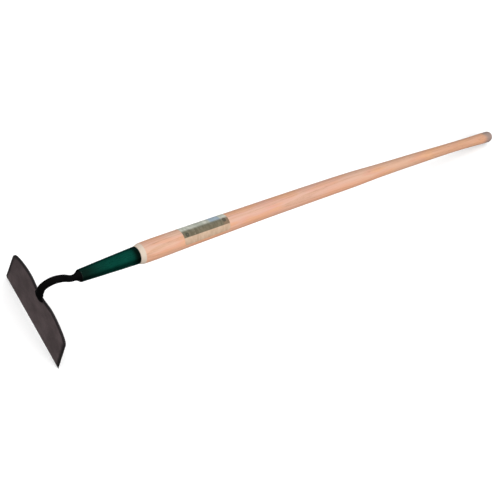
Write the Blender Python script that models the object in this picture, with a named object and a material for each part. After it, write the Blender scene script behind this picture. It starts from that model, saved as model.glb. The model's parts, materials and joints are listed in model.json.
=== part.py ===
"""Long-handled gooseneck hoe: a welded steel blade, a tang-and-ferrule joint and an ash handle.

Metres, +Z up. The tool's own frame has its origin where the ferrule's axis meets its narrow end.
There +X runs along the handle to the butt and the blade hangs down from the neck, at -X.
An empty then tilts the tool so that the blade's two corners and the butt rest on Z = 0.
"""

import math

import bmesh
import bpy
from mathutils import Matrix, Vector

# Left between pieces that touch.
GAP = 0.0003

# Blade: a flat plate in its own plane, measured from the middle of the line between its corners.
BLADE_WIDTH = 0.190
BLADE_THICKNESS = 0.003
BLADE_EDGE_CENTRE = Vector((-0.0601, 0.0, -0.1234))
BLADE_HANG_ANGLE = math.radians(86.38)
EDGE_HOLLOW = 0.002
GROUND_HEIGHT = 0.009
EDGE_THICKNESS = 0.0005
END_TOP = (0.0893, 0.083)
SHOULDER = (0.0825, 0.0963)
HUMP = (0.036, 0.111)
TOP_CENTRE_HEIGHT = 0.104

# Shank: foot, rod neck, cone, spigot and tang.
NECK_RADII = (0.0062, 0.0066, 0.0058)
CONE_LENGTH = 0.011
CONE_RADIUS = 0.0111
SPIGOT_LENGTH = 0.0297
TANG_HALF_START = 0.0042
TANG_HALF_END = 0.0016
TANG_END = 0.116

# Weld beads round the foot: (across, height) and half width under its tip and by its sides.
BEAD_TIP = (0.0, 0.0938)
BEAD_END = (0.0104, 0.1046)
BEAD_TIP_HALF_WIDTH = 0.0022
BEAD_SIDE_HALF_WIDTH = 0.0031
BEAD_RISE = 0.85
BEAD_END_TAPER = (0.45, 0.85)

# Ferrule: a tube that swells slightly between its two ends.
FERRULE_LENGTH = 0.1127
FERRULE_NARROW_RADIUS = 0.0111
FERRULE_WIDE_RADIUS = 0.0162
FERRULE_SWELL = 0.0002
FERRULE_WALL = 0.0015
FERRULE_RIM = 0.0012

# Pin through the ferrule's underside into the wood.
PIN_X = 0.075
PIN_RADIUS = 0.0014
PIN_HEAD_RADIUS = 0.0032
PIN_HEAD_HEIGHT = 0.0012
PIN_INNER_END = 0.0055

# Handle: distances run from the ferrule's wide end, with the radius there.
HANDLE_LENGTH = 1.2978
HANDLE_BOW = 0.0165
SHOULDER_RADIUS = 0.0160
HANDLE_RADII = (
    (0.0095, 0.0191),
    (0.036, 0.0197),
    (0.136, 0.0193),
    (0.306, 0.0188),
    (0.596, 0.0185),
    (0.721, 0.0163),
    (0.876, 0.0151),
    (1.056, 0.0139),
    (1.156, 0.0143),
    (1.246, 0.0157),
    (HANDLE_LENGTH, 0.0163),
)
BUTT_ROUNDING = 0.010

# Label: a sticker wrapped part of the way round the handle.
LABEL_START = 0.207
LABEL_LENGTH = 0.111
LABEL_THICKNESS = 0.0003
LABEL_ANGLES = (math.radians(2.0), math.radians(160.0))

# Facets.
ROUND_SIDES = 40
SHANK_SIDES = 24
PIN_SIDES = 20
SHARP_ANGLE = math.radians(35)

BLADE_UP = Vector((-math.cos(BLADE_HANG_ANGLE), 0.0, math.sin(BLADE_HANG_ANGLE)))
BLADE_INWARD = Vector((math.sin(BLADE_HANG_ANGLE), 0.0, math.cos(BLADE_HANG_ANGLE)))
X_AXIS = Vector((1.0, 0.0, 0.0))
Y_AXIS = Vector((0.0, 1.0, 0.0))
Z_AXIS = Vector((0.0, 0.0, 1.0))


# Curves

def mix(a, b, t):
    return a + (b - a) * t


def bezier(start, handle_a, handle_b, end, steps):
    """Points on a cubic Bezier after its start, up to and including its end."""
    points = []
    for i in range(1, steps + 1):
        t = i / steps
        weights = ((1 - t) ** 3, 3 * t * (1 - t) ** 2, 3 * t * t * (1 - t), t ** 3)
        knots = (start, handle_a, handle_b, end)
        points.append(tuple(sum(w * k[axis] for w, k in zip(weights, knots)) for axis in (0, 1)))
    return points


def smooth_through(stations, x):
    """The value at x on a smooth curve through (x, value) stations."""
    last = len(stations) - 1
    i = max(k for k in range(last) if k == 0 or stations[k][0] <= x)
    x0, v0 = stations[i]
    x1, v1 = stations[i + 1]

    def slope(k):
        before, after = stations[max(k - 1, 0)], stations[min(k + 1, last)]
        return (after[1] - before[1]) / (after[0] - before[0])

    span = x1 - x0
    t = (x - x0) / span
    from_start = v0 * (1 + 2 * t) * (1 - t) ** 2 + slope(i) * span * t * (1 - t) ** 2
    from_end = v1 * t * t * (3 - 2 * t) + slope(i + 1) * span * t * t * (t - 1)
    return from_start + from_end


# Rings and lofts

def ring(centre, side, up, half_side, half_up, count, squareness=2.0):
    """A closed loop: an ellipse at squareness 2, and squarer above it."""
    power = 2.0 / squareness
    points = []
    for i in range(count):
        angle = math.tau * i / count
        c, s = math.cos(angle), math.sin(angle)
        across = math.copysign(abs(c) ** power, c) * half_side
        along = math.copysign(abs(s) ** power, s) * half_up
        points.append(centre + side * across + up * along)
    return points


def x_ring(x, radius, count=ROUND_SIDES, z=0.0):
    return ring(Vector((x, 0.0, z)), Y_AXIS, Z_AXIS, radius, radius, count)


def loft(rings, closed=False):
    """A bmesh skin over the rings, with its two ends capped, or joined to each other if closed."""
    bm = bmesh.new()
    loops = [[bm.verts.new(point) for point in points] for points in rings]
    pairs = list(zip(loops, loops[1:]))
    if closed:
        pairs.append((loops[-1], loops[0]))
    for first, second in pairs:
        count = len(first)
        for i in range(count):
            j = (i + 1) % count
            bm.faces.new((first[i], first[j], second[j], second[i]))
    if not closed:
        bm.faces.new(loops[0])
        bm.faces.new(loops[-1])
    bmesh.ops.recalc_face_normals(bm, faces=bm.faces)
    return bm


# Objects

def make_material(name, colour, roughness, metallic):
    material = bpy.data.materials.new(name)
    material.use_nodes = True
    shader = material.node_tree.nodes["Principled BSDF"]
    shader.inputs["Base Color"].default_value = (*colour, 1.0)
    shader.inputs["Roughness"].default_value = roughness
    shader.inputs["Metallic"].default_value = metallic
    return material


def make_object(name, bm, tool, material=None):
    """A named object from a bmesh, shaded smooth up to the sharp angle and parented to the tool."""
    mesh = bpy.data.meshes.new(name)
    bm.to_mesh(mesh)
    bm.free()
    mesh.shade_smooth()
    mesh.set_sharp_from_angle(angle=SHARP_ANGLE)
    if material:
        mesh.materials.append(material)
    obj = bpy.data.objects.new(name, mesh)
    obj.parent = tool
    bpy.context.scene.collection.objects.link(obj)
    return obj


def make_cutter(name, bm, tool):
    cutter = make_object(name, bm, tool)
    cutter.hide_render = True
    cutter.display_type = "WIRE"
    return cutter


def cut(obj, cutter):
    modifier = obj.modifiers.new(f"cut_{cutter.name}", "BOOLEAN")
    modifier.operation = "DIFFERENCE"
    modifier.solver = "EXACT"
    modifier.object = cutter


# Blade

def on_blade(across, height, depth):
    """A point in the blade's frame: depth 0 is the outer face, and it grows towards the handle."""
    return BLADE_EDGE_CENTRE + Y_AXIS * across + BLADE_UP * height + BLADE_INWARD * depth


def half_top_edge():
    """The blade's end, shoulder, hump and dip on the +Y side, from its corner to the middle."""
    half_width = BLADE_WIDTH / 2
    hump_height = HUMP[1]
    points = [(half_width, 0.0), END_TOP]
    points += bezier(END_TOP, (0.0888, 0.090), (0.0865, 0.0928), SHOULDER, 5)
    points += bezier(SHOULDER, (0.076, 0.102), (0.055, hump_height), HUMP, 11)
    dip_handle = (0.016, TOP_CENTRE_HEIGHT)
    points += bezier(HUMP, (0.024, hump_height), dip_handle, (0.0, TOP_CENTRE_HEIGHT), 8)
    return points


def cutting_edge():
    """The slightly hollow cutting edge between the corners, from -Y to +Y, without its ends."""
    half_width = BLADE_WIDTH / 2
    steps = 20
    offsets = [mix(-1.0, 1.0, i / steps) for i in range(1, steps)]
    return [(half_width * u, EDGE_HOLLOW * (1 - u * u)) for u in offsets]


def blade_outline():
    right = half_top_edge()
    left = [(-across, height) for across, height in reversed(right[:-1])]
    return right + left + cutting_edge()


def plate(outline, depth_a, depth_b):
    return loft([[on_blade(a, h, depth) for a, h in outline] for depth in (depth_a, depth_b)])


def grind_edge(bm):
    """Cuts the outer face's lower strip away along one plane, down to the edge's thickness."""
    removed = BLADE_THICKNESS - EDGE_THICKNESS
    normal = -(BLADE_UP * removed + BLADE_INWARD * GROUND_HEIGHT).normalized()
    everything = bm.verts[:] + bm.edges[:] + bm.faces[:]
    origin = on_blade(0.0, GROUND_HEIGHT, 0.0)
    bmesh.ops.bisect_plane(bm, geom=everything, plane_co=origin, plane_no=normal, clear_outer=True)
    open_edges = [edge for edge in bm.edges if edge.is_boundary]
    bmesh.ops.holes_fill(bm, edges=open_edges)
    bmesh.ops.recalc_face_normals(bm, faces=bm.faces)


def make_blade(tool):
    bm = plate(blade_outline(), 0.0, BLADE_THICKNESS)
    grind_edge(bm)
    steel = make_material("blade_steel", (0.080, 0.063, 0.065), 0.55, 0.3)
    return make_object("blade", bm, tool, steel)


# Shank

def foot_rings():
    """The foot that straddles the blade: height, depth of its middle, half width, half thickness."""
    stations = (
        (0.0965, 0.0013, 0.0015, 0.0026),
        (0.0977, 0.0012, 0.0034, 0.0032),
        (0.0992, 0.0010, 0.0048, 0.0038),
        (0.1010, 0.0006, 0.0058, 0.0046),
        (0.1030, 0.0001, 0.0065, 0.0053),
        (0.1053, -0.0005, 0.0068, 0.0058),
        (0.1080, -0.0010, 0.0066, 0.0060),
    )
    rings = []
    for height, depth, half_width, half_thickness in stations:
        centre = on_blade(0.0, height, depth)
        half = (half_width, half_thickness)
        rings.append(ring(centre, Y_AXIS, -BLADE_INWARD, *half, SHANK_SIDES, squareness=2.3))
    return rings


def neck_path():
    """(x, z) along the gooseneck, from above the foot over the crook and down to the cone."""
    foot_top = on_blade(0.0, 0.112, -0.0015)
    start = (foot_top.x, foot_top.z)
    back = (-0.0690, 0.0025)
    crook = (-0.0513, 0.0184)
    low = (-CONE_LENGTH - 0.0005, 0.0008)
    path = [start]
    path += bezier(start, (-0.0685, -0.0060), (-0.0690, -0.0020), back, 3)
    path += bezier(back, (-0.0690, 0.0110), (-0.0603, crook[1]), crook, 9)
    path += bezier(crook, (-0.0300, crook[1]), (-0.0225, low[1]), low, 10)
    return path


def neck_rings():
    """Round rings square to the path; the first faces up the blade and the last along the handle."""
    path = [Vector((x, 0.0, z)) for x, z in neck_path()]
    last = len(path) - 1
    foot_radius, crook_radius, cone_end_radius = NECK_RADII
    radii = ((0, foot_radius), (last / 2, crook_radius), (last, cone_end_radius))
    rings = []
    for i, centre in enumerate(path):
        ahead = (path[min(i + 1, last)] - path[max(i - 1, 0)]).normalized()
        if i == 0:
            ahead = BLADE_UP
        if i == last:
            ahead = X_AXIS
        outward = ahead.cross(Y_AXIS)
        radius = smooth_through(radii, i)
        rings.append(ring(centre, Y_AXIS, outward, radius, radius, SHANK_SIDES))
    return rings


def cone_and_spigot_rings():
    """The cone that the ferrule butts against, then the spigot that fills its narrow end."""
    spigot_radius = FERRULE_NARROW_RADIUS - FERRULE_WALL - GAP
    stations = (
        (CONE_LENGTH * -0.75, 0.0063, 0.0006),
        (CONE_LENGTH * -0.50, 0.0074, 0.0004),
        (CONE_LENGTH * -0.25, 0.0090, 0.0002),
        (CONE_LENGTH * -0.08, CONE_RADIUS - 0.0006, 0.0),
        (-GAP, CONE_RADIUS, 0.0),
        (-GAP, spigot_radius, 0.0),
        (SPIGOT_LENGTH - 0.001, spigot_radius, 0.0),
        (SPIGOT_LENGTH, spigot_radius - 0.001, 0.0),
    )
    return [x_ring(x, radius, SHANK_SIDES, z) for x, radius, z in stations]


def tang_rings(clearance, first_x, last_x, sides):
    """The square tang's tapering rings, grown all round by the clearance."""
    steps = 4
    rings = []
    for i in range(steps + 1):
        x = mix(first_x, last_x, i / steps)
        along = (x - SPIGOT_LENGTH) / (TANG_END - SPIGOT_LENGTH)
        half = mix(TANG_HALF_START, TANG_HALF_END, along) + clearance
        centre = Vector((x, 0.0, 0.0))
        rings.append(ring(centre, Y_AXIS, Z_AXIS, half, half, sides, squareness=5.0))
    return rings


def slot_cutter(tool):
    """The slot in the foot: the blade's top edge and its thickness, with the gap all round."""
    reach = 0.020
    top = [(a, h + GAP) for a, h in half_top_edge() if a <= reach]
    mirrored = [(-a, h) for a, h in reversed(top[:-1])]
    outline = [(reach, 0.07), (reach, top[0][1])] + top + mirrored
    outline += [(-reach, top[0][1]), (-reach, 0.07)]
    return make_cutter("blade_slot", plate(outline, -GAP, BLADE_THICKNESS + GAP), tool)


def make_shank(tool):
    rings = foot_rings() + neck_rings() + cone_and_spigot_rings()
    rings += tang_rings(0.0, SPIGOT_LENGTH, TANG_END, SHANK_SIDES)
    black = make_material("forged_black", (0.012, 0.012, 0.013), 0.5, 0.4)
    shank = make_object("gooseneck_shank", loft(rings), tool, black)
    cut(shank, slot_cutter(tool))
    return shank


# Welds

def bead_path():
    """(across, height) of the U-shaped bead round the foot, from +Y under the tip to -Y."""
    half = [BEAD_END] + bezier(BEAD_END, (0.0090, 0.0985), (0.0060, BEAD_TIP[1]), BEAD_TIP, 11)
    return half + [(-across, height) for across, height in reversed(half[:-1])]


def bead_half_widths(path):
    """Wider up the foot's sides than under its tip, and tapered at the bead's two ends."""
    widths = []
    for i, (_, height) in enumerate(path):
        up_the_foot = (height - BEAD_TIP[1]) / (BEAD_END[1] - BEAD_TIP[1])
        width = mix(BEAD_TIP_HALF_WIDTH, BEAD_SIDE_HALF_WIDTH, up_the_foot ** 2)
        from_end = min(i, len(path) - 1 - i)
        if from_end < len(BEAD_END_TAPER):
            width *= BEAD_END_TAPER[from_end]
        widths.append(width)
    return widths


def make_weld(name, depth, outward, tool, material):
    """A domed bead that lies on one face of the blade, at the depth given."""
    path = [Vector(point) for point in bead_path()]
    arc_points = 9
    rings = []
    for i, (point, half_width) in enumerate(zip(path, bead_half_widths(path))):
        ahead = (path[min(i + 1, len(path) - 1)] - path[max(i - 1, 0)]).normalized()
        side = Y_AXIS * -ahead.y + BLADE_UP * ahead.x
        centre = on_blade(point.x, point.y, depth)
        points = []
        for k in range(arc_points + 1):
            angle = math.pi * k / arc_points
            rise = outward * (half_width * BEAD_RISE * math.sin(angle))
            points.append(centre + side * (half_width * math.cos(angle)) + rise)
        rings.append(points)
    return make_object(name, loft(rings), tool, material)


def make_welds(tool):
    bead = make_material("weld_steel", (0.015, 0.015, 0.016), 0.45, 0.6)
    outer = make_weld("weld_outer", -GAP, BLADE_INWARD * -1, tool, bead)
    inner = make_weld("weld_inner", BLADE_THICKNESS + GAP, BLADE_INWARD, tool, bead)
    return [outer, inner]


# Ferrule

def ferrule_radius(x):
    """The outer radius at x."""
    u = x / FERRULE_LENGTH
    straight = mix(FERRULE_NARROW_RADIUS, FERRULE_WIDE_RADIUS, u)
    return straight + FERRULE_SWELL * 4 * u * (1 - u)


def make_ferrule(tool):
    steps = 12
    stations = [mix(0.0, FERRULE_LENGTH, i / steps) for i in range(steps + 1)]
    outer = [(x, ferrule_radius(x)) for x in stations]
    inner = [(x, r - FERRULE_WALL) for x, r in reversed(outer)]
    rim_start = FERRULE_LENGTH - FERRULE_RIM
    outer[0:1] = [(0.0, FERRULE_NARROW_RADIUS - 0.0004), (0.0004, ferrule_radius(0.0004))]
    outer[-1:] = [
        (rim_start, ferrule_radius(rim_start)),
        (rim_start + FERRULE_RIM * 0.7, ferrule_radius(rim_start) - FERRULE_RIM * 0.25),
        (FERRULE_LENGTH, ferrule_radius(rim_start) - FERRULE_RIM * 0.85),
    ]
    rings = [x_ring(x, radius) for x, radius in outer + inner]
    green = make_material("ferrule_green", (0.004, 0.052, 0.028), 0.3, 0.0)
    return make_object("ferrule", loft(rings, closed=True), tool, green)


# Pin

def pin_ring(distance, radius):
    """A level ring under the ferrule's axis, at this distance from it."""
    centre = Vector((PIN_X, 0.0, -distance))
    return ring(centre, X_AXIS, Y_AXIS, radius, radius, PIN_SIDES)


def make_pin(tool):
    seat = ferrule_radius(PIN_X) + GAP
    rings = [pin_ring(PIN_INNER_END, PIN_RADIUS * 0.3), pin_ring(PIN_INNER_END + 0.002, PIN_RADIUS)]
    rings += [pin_ring(seat, PIN_RADIUS), pin_ring(seat, PIN_HEAD_RADIUS)]
    dome_steps = 4
    for i in range(1, dome_steps + 1):
        angle = math.radians(75) * i / dome_steps
        rings.append(pin_ring(seat + PIN_HEAD_HEIGHT * math.sin(angle), PIN_HEAD_RADIUS * math.cos(angle)))
    steel = make_material("pin_steel", (0.30, 0.30, 0.31), 0.35, 1.0)
    return make_object("ferrule_pin", loft(rings), tool, steel)


def pin_hole_cutter(tool):
    radius = PIN_RADIUS + GAP
    rings = [pin_ring(PIN_INNER_END - GAP * 2, radius), pin_ring(0.020, radius)]
    return make_cutter("pin_hole", loft(rings), tool)


# Handle

def handle_frame(distance):
    """The axis there, which leaves the ferrule straight and curves down to the butt, and its upward normal."""
    u = distance / HANDLE_LENGTH
    slope = 8 * HANDLE_BOW * u / HANDLE_LENGTH
    centre = Vector((FERRULE_LENGTH + distance, 0.0, -4 * HANDLE_BOW * u * u))
    return centre, Vector((slope, 0.0, 1.0)).normalized()


def handle_ring(distance, radius):
    centre, up = handle_frame(distance)
    return ring(centre, Y_AXIS, up, radius, radius, ROUND_SIDES)


def socket_rings():
    """The turned-down end that fills the ferrule, from its front face to the shoulder."""
    front = SPIGOT_LENGTH + GAP
    steps = 6
    rings = []
    for i in range(steps + 1):
        x = mix(front, FERRULE_LENGTH + GAP, i / steps)
        rings.append(x_ring(x, ferrule_radius(min(x, FERRULE_LENGTH)) - FERRULE_WALL - GAP))
    return rings


def pole_rings():
    """The exposed pole: shoulder chamfer, swell, waist, grip and rounded butt."""
    chamfer_end, swell_radius = HANDLE_RADII[0]
    rings = [handle_ring(GAP, SHOULDER_RADIUS), handle_ring(chamfer_end, swell_radius)]
    last = HANDLE_LENGTH - BUTT_ROUNDING
    steps = 44
    for i in range(1, steps + 1):
        distance = mix(chamfer_end, last, i / steps)
        rings.append(handle_ring(distance, smooth_through(HANDLE_RADII, distance)))
    butt_radius = smooth_through(HANDLE_RADII, last)
    round_steps = 4
    for i in range(1, round_steps + 1):
        angle = math.pi / 2 * i / round_steps
        drop = BUTT_ROUNDING * (1 - math.cos(angle))
        rings.append(handle_ring(last + BUTT_ROUNDING * math.sin(angle), butt_radius - drop))
    return rings


def make_handle(tool):
    bore = tang_rings(GAP, TANG_END + GAP, SPIGOT_LENGTH + GAP, ROUND_SIDES)
    ash = make_material("ash_wood", (0.72, 0.46, 0.33), 0.55, 0.0)
    return make_object("handle", loft(bore + socket_rings() + pole_rings()), tool, ash)


# Label

def make_label(tool):
    along_steps, round_steps = 8, 16
    first, last = LABEL_ANGLES
    angles = [mix(first, last, k / round_steps) for k in range(round_steps + 1)]
    rings = []
    for i in range(along_steps + 1):
        distance = LABEL_START - FERRULE_LENGTH + LABEL_LENGTH * i / along_steps
        centre, up = handle_frame(distance)
        inner = smooth_through(HANDLE_RADII, distance) + GAP
        outer = inner + LABEL_THICKNESS
        around = [(outer, angle) for angle in angles] + [(inner, angle) for angle in reversed(angles)]
        rings.append([centre + Y_AXIS * r * math.cos(a) + up * r * math.sin(a) for r, a in around])
    paper = make_material("label_print", (0.188, 0.150, 0.098), 0.45, 0.0)
    return make_object("handle_label", loft(rings), tool, paper)


# Assembly

def rest_on_floor(tool, solids):
    """Tilts the tool about Y until the blade's corners and the butt touch, then centres it on Z = 0."""
    points = [vertex.co.copy() for obj in solids for vertex in obj.data.vertices]
    corner = min(points, key=lambda point: point.z)
    behind = [point - corner for point in points if point.x > FERRULE_LENGTH]
    tilt = min(math.atan2(offset.z, offset.x) for offset in behind)
    turn = Matrix.Rotation(tilt, 4, "Y")
    turned = [turn @ point for point in points]
    middle_x = (min(p.x for p in turned) + max(p.x for p in turned)) / 2
    lowest = min(p.z for p in turned)
    tool.rotation_euler = (0.0, tilt, 0.0)
    tool.location = (-middle_x, 0.0, -lowest)


def clear_scene():
    for obj in list(bpy.data.objects):
        bpy.data.objects.remove(obj, do_unlink=True)


def main():
    clear_scene()
    tool = bpy.data.objects.new("hoe", None)
    bpy.context.scene.collection.objects.link(tool)
    solids = [make_blade(tool), make_shank(tool), *make_welds(tool)]
    ferrule, handle = make_ferrule(tool), make_handle(tool)
    hole = pin_hole_cutter(tool)
    cut(ferrule, hole)
    cut(handle, hole)
    solids += [ferrule, handle, make_pin(tool), make_label(tool)]
    rest_on_floor(tool, solids)


main()
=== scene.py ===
"""The looks of a long-handled gooseneck hoe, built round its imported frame.

Metres. Each piece is built in the tool's own frame, and finish_piece() then moves its mesh into the world.
The tool's origin is where the ferrule's axis meets its narrow end, +X runs along the handle and the blade
hangs down at -X.
"""

import json
import math
import random

import bmesh
import bpy
import numpy as np
from mathutils import Matrix, Vector, noise


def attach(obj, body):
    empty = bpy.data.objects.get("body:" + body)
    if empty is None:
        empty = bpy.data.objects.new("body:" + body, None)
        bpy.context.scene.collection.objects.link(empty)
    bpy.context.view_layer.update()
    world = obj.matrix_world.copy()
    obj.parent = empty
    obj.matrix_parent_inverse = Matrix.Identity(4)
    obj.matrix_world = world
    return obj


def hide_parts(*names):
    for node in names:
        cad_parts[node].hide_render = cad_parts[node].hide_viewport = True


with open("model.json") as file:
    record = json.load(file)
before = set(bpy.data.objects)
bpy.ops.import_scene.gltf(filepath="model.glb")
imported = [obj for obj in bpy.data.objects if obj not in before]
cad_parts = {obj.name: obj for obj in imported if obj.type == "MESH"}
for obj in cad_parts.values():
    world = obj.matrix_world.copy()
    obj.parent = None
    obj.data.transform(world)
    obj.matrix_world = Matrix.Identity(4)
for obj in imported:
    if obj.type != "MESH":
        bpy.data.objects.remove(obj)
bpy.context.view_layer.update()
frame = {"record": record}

# Blade: (across, height) in its own plane, from the middle of the line between its corners.
BLADE_WIDTH = 0.190
BLADE_THICKNESS = 0.003
BLADE_EDGE_CENTRE = Vector((-0.0601, 0.0, -0.1234))
BLADE_HANG_ANGLE = math.radians(86.38)
EDGE_HOLLOW = 0.002
GROUND_HEIGHT = 0.009
EDGE_THICKNESS = 0.0005
END_TOP = (0.0893, 0.083)
SHOULDER = (0.0825, 0.0963)
HUMP = (0.036, 0.111)
TOP_CENTRE_HEIGHT = 0.104
BLADE_BEVEL = 0.0007
BLADE_WARP = 0.0004
NICK_DEPTH = 0.00032
BLADE_COLUMNS = 240
STRIP_ROWS = 5
FACE_ROWS = 72

# Shank. The foot's stations are its height, the depth of its middle, half width and half thickness.
FOOT_STATIONS = (
    (0.0965, 0.0013, 0.0015, 0.0026),
    (0.0977, 0.0012, 0.0034, 0.0032),
    (0.0992, 0.0010, 0.0048, 0.0038),
    (0.1010, 0.0006, 0.0058, 0.0046),
    (0.1030, 0.0001, 0.0065, 0.0053),
    (0.1053, -0.0005, 0.0068, 0.0058),
    (0.1080, -0.0010, 0.0066, 0.0060),
    (0.1120, -0.0015, 0.0062, 0.0062),
)
NECK_RADII = (0.0062, 0.0066, 0.0058)
CONE_LENGTH = 0.011
CONE_RADIUS = 0.0111
SPIGOT_LENGTH = 0.0297
SPIGOT_RADIUS = 0.0093
TANG_END = 0.116
TANG_HALF = (0.0042, 0.0016)
FORGING_DEPTH = 0.00035
SLOT_CLEARANCE = 0.0002

# Weld beads round the foot: (across, height), half width under its tip and by its sides.
BEAD_TIP = (0.0, 0.0944)
BEAD_ENDS = ((0.0090, 0.1040), (0.0084, 0.0994))
BEAD_HALF_WIDTHS = (0.0028, 0.0034)
BEAD_RISE = 0.85
RIPPLE_PITCH = 0.0016

# Left between pieces that touch out of sight.
GAP = 0.0003

# Ferrule and its pin.
FERRULE_LENGTH = 0.1127
FERRULE_RADII = (0.0111, 0.0162)
FERRULE_SWELL = 0.0002
FERRULE_WALL = 0.0015
FERRULE_RIM = 0.0013
FERRULE_UNEVENNESS = 0.00022
PIN_X = 0.075
PIN_HEAD_RADIUS = 0.0032
PIN_HEAD_HEIGHT = 0.0014
PIN_RADIUS = 0.0014
PIN_INNER_END = 0.0055

# Handle: distances from the ferrule's wide end, with the radius there.
HANDLE_LENGTH = 1.2978
HANDLE_BOW = 0.0165
SHOULDER_RADIUS = 0.0160
HANDLE_RADII = (
    (0.0095, 0.0191),
    (0.036, 0.0197),
    (0.136, 0.0193),
    (0.306, 0.0188),
    (0.596, 0.0185),
    (0.721, 0.0163),
    (0.876, 0.0151),
    (1.056, 0.0139),
    (1.156, 0.0143),
    (1.246, 0.0157),
    (HANDLE_LENGTH, 0.0163),
)
BUTT_ROUNDING = 0.010
BUTT_CLEARANCE = 0.0001
POLE_UNEVENNESS = 0.012

# Label: a sticker wrapped part of the way round the handle.
LABEL_START = 0.207
LABEL_LENGTH = 0.111
LABEL_THICKNESS = 0.00016
LABEL_ANGLES = (math.radians(3), math.radians(159))
LABEL_CORNER = 0.006

# Camera, in the tool's frame.
CAMERA_PLACE = Vector((-0.49893, -0.40128, 0.97888))
CAMERA_VIEW = Vector((0.62770, 0.24957, -0.73736))
CAMERA_UP = Vector((0.29395, 0.80110, 0.52138))
CAMERA_LENS = 50.0
CAMERA_SENSOR = 36.0

# Light: the sky's strength from above and from below, and softboxes as place, target, size, power
# and whether glossy surfaces mirror them.
SKY_ABOVE = 0.98
SKY_BELOW = 0.12
SOFTBOXES = (
    ("key_softbox", (-1.5, 0.9, 2.6), (0.0, 0.0, 0.05), (2.2, 1.6), 26.0, True),
    ("fill_softbox", (0.2, -2.6, 1.0), (0.1, 0.0, 0.05), (3.0, 1.2), 52.0, False),
)

X_AXIS = Vector((1.0, 0.0, 0.0))
Y_AXIS = Vector((0.0, 1.0, 0.0))
Z_AXIS = Vector((0.0, 0.0, 1.0))
BLADE_UP = Vector((-math.cos(BLADE_HANG_ANGLE), 0.0, math.sin(BLADE_HANG_ANGLE)))
BLADE_INWARD = Vector((math.sin(BLADE_HANG_ANGLE), 0.0, math.cos(BLADE_HANG_ANGLE)))
SHARP_ANGLE = math.radians(38)


def place_tool():
    """The tool frame's matrix in the world, from the flat on the butt that the record gives."""
    mount = next(m for m in frame["record"]["mounts"] if m["name"] == "butt_end")
    axis = mount["axis"]
    butt_slope = math.atan(8 * HANDLE_BOW / HANDLE_LENGTH)
    tilt = math.atan2(-axis[2], axis[0]) - butt_slope
    turn = Matrix.Rotation(tilt, 4, "Y")
    butt = Vector((FERRULE_LENGTH + HANDLE_LENGTH, 0.0, -4 * HANDLE_BOW))
    return Matrix.Translation(Vector(mount["pos_m"]) - turn @ butt) @ turn


TOOL = place_tool()


# Curves

def mix(a, b, t):
    return a + (b - a) * t


def smoothstep(low, high, x):
    t = min(max((x - low) / (high - low), 0.0), 1.0)
    return t * t * (3 - 2 * t)


def bezier(start, handle_a, handle_b, end, steps):
    """Points on a cubic Bezier after its start, up to and including its end."""
    points = []
    for i in range(1, steps + 1):
        t = i / steps
        weights = ((1 - t) ** 3, 3 * t * (1 - t) ** 2, 3 * t * t * (1 - t), t ** 3)
        knots = (start, handle_a, handle_b, end)
        points.append(tuple(sum(w * k[axis] for w, k in zip(weights, knots)) for axis in (0, 1)))
    return points


def smooth_through(stations, x, column=1):
    """The column's value at x on a smooth curve through rows that start with x."""
    last = len(stations) - 1
    i = max(k for k in range(last) if k == 0 or stations[k][0] <= x)
    x0, v0 = stations[i][0], stations[i][column]
    x1, v1 = stations[i + 1][0], stations[i + 1][column]

    def slope(k):
        before, after = stations[max(k - 1, 0)], stations[min(k + 1, last)]
        return (after[column] - before[column]) / (after[0] - before[0])

    span = x1 - x0
    t = (x - x0) / span
    from_start = v0 * (1 + 2 * t) * (1 - t) ** 2 + slope(i) * span * t * (1 - t) ** 2
    from_end = v1 * t * t * (3 - 2 * t) + slope(i + 1) * span * t * t * (t - 1)
    return from_start + from_end


def evenly(points, count):
    """count + 1 points at equal steps along the polyline."""
    line = np.array([tuple(p) for p in points])
    steps = np.linalg.norm(np.diff(line, axis=0), axis=1)
    travelled = np.concatenate([[0.0], np.cumsum(steps)])
    wanted = np.linspace(0.0, travelled[-1], count + 1)
    return np.stack([np.interp(wanted, travelled, line[:, k]) for k in range(line.shape[1])], axis=1)


# Rings, skins and pieces

def ring(centre, side, up, half_side, half_up, count, squareness=2.0):
    """A closed loop: an ellipse at squareness 2, and squarer above it."""
    power = 2.0 / squareness
    points = []
    for i in range(count):
        angle = math.tau * i / count
        c, s = math.cos(angle), math.sin(angle)
        across = math.copysign(abs(c) ** power, c) * half_side
        along = math.copysign(abs(s) ** power, s) * half_up
        points.append(centre + side * across + up * along)
    return points


def x_ring(x, radius, count, z=0.0):
    return ring(Vector((x, 0.0, z)), Y_AXIS, Z_AXIS, radius, radius, count)


def skin(rings, closed=False):
    """A bmesh over the rings, with its two ends capped, or joined to each other if closed."""
    bm = bmesh.new()
    loops = [[bm.verts.new(point) for point in points] for points in rings]
    pairs = list(zip(loops, loops[1:]))
    if closed:
        pairs.append((loops[-1], loops[0]))
    for first, second in pairs:
        count = len(first)
        for i in range(count):
            j = (i + 1) % count
            bm.faces.new((first[i], first[j], second[j], second[i]))
    if not closed:
        bm.faces.new(loops[0])
        bm.faces.new(loops[-1])
    bmesh.ops.recalc_face_normals(bm, faces=bm.faces)
    return bm


def make_object(name, bm):
    mesh = bpy.data.meshes.new(name)
    bm.to_mesh(mesh)
    bm.free()
    mesh.shade_smooth()
    mesh.set_sharp_from_angle(angle=SHARP_ANGLE)
    obj = bpy.data.objects.new(name, mesh)
    bpy.context.scene.collection.objects.link(obj)
    return obj


def finish_piece(obj, material, node):
    """Places the piece in the world and lets it stand for its node."""
    obj.data.materials.append(material)
    obj.data.transform(TOOL)
    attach(obj, "root")
    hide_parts(node)
    return obj


def coordinates(obj):
    flat = np.empty(len(obj.data.vertices) * 3)
    obj.data.vertices.foreach_get("co", flat)
    return flat.reshape(-1, 3)


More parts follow.
